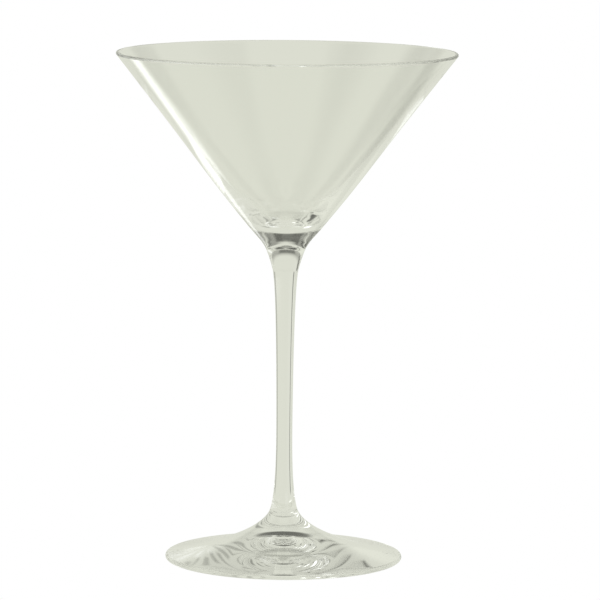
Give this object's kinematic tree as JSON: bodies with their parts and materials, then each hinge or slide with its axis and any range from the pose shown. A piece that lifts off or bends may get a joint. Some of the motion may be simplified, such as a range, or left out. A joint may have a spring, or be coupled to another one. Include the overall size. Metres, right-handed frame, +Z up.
{
  "type": "martini glass",
  "caption": "Stemmed martini glass in clear crystal: wide conical bowl on a solid flared base, slim drawn stem and round hollow-bottomed foot.",
  "frame": {"origin": "centre of the foot's contact ring, on the surface that the glass stands on", "axes": "+Z up along the axis of the glass, from the foot to the lip; the glass is round, so X and Y are alike"},
  "size_m": [0.116, 0.116, 0.174],
  "materials": {
    "bowl_crystal": "clear, fire-polished, blown",
    "stem_crystal": "clear, drawn, with fine lengthwise cords",
    "foot_crystal": "clear, pressed and fire-polished, with fine tooling rings"
  },
  "bodies": {
    "root": {"bowl": "bowl_crystal", "stem": "stem_crystal", "foot": "foot_crystal"}
  },
  "joints": []
}
